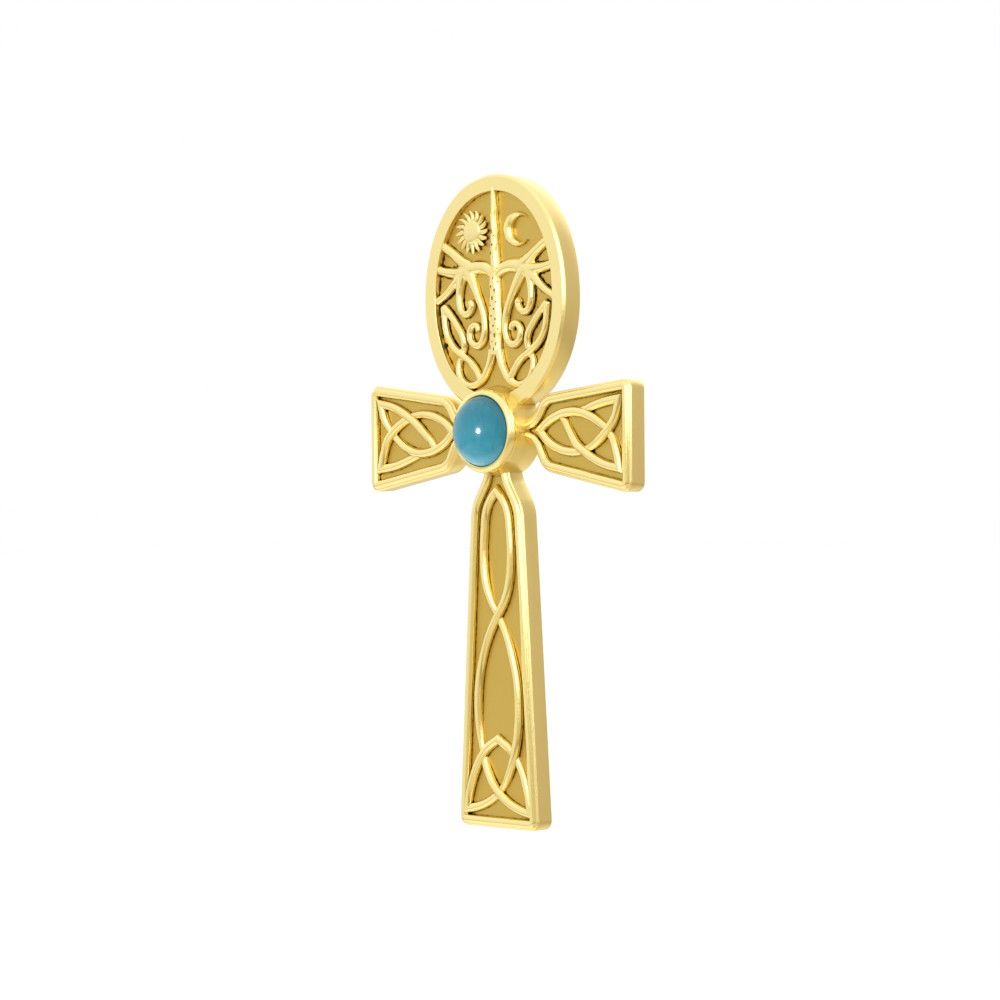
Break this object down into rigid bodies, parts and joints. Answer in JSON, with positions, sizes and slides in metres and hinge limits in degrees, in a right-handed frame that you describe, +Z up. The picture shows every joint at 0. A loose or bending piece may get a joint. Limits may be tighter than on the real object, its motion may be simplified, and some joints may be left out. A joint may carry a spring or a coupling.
{
  "type": "ankh pendant",
  "caption": "Cast gold ankh pendant with raised knotwork and a tree of life, a round cabochon in a tall bezel at the crossing, and a hidden bail behind the head for a fine chain.",
  "frame": {"origin": "at the top of the bail's bore, midway along it, where a chain bears when the pendant hangs", "axes": "+Z up, towards the head's top as worn; -Y is the way the front faces; +X is to the viewer's right, along the bail's bore"},
  "size_m": [0.0252, 0.0074, 0.0459],
  "materials": {
    "gold_body": "polished gold with a satin sunken floor and a little dark patina in the corners",
    "blue_stone": "polished cloudy teal-blue cabochon",
    "gold_bail": "polished gold"
  },
  "bodies": {
    "root": {"ankh_body": "gold_body", "stone": "blue_stone", "bail": "gold_bail"}
  },
  "joints": []
}
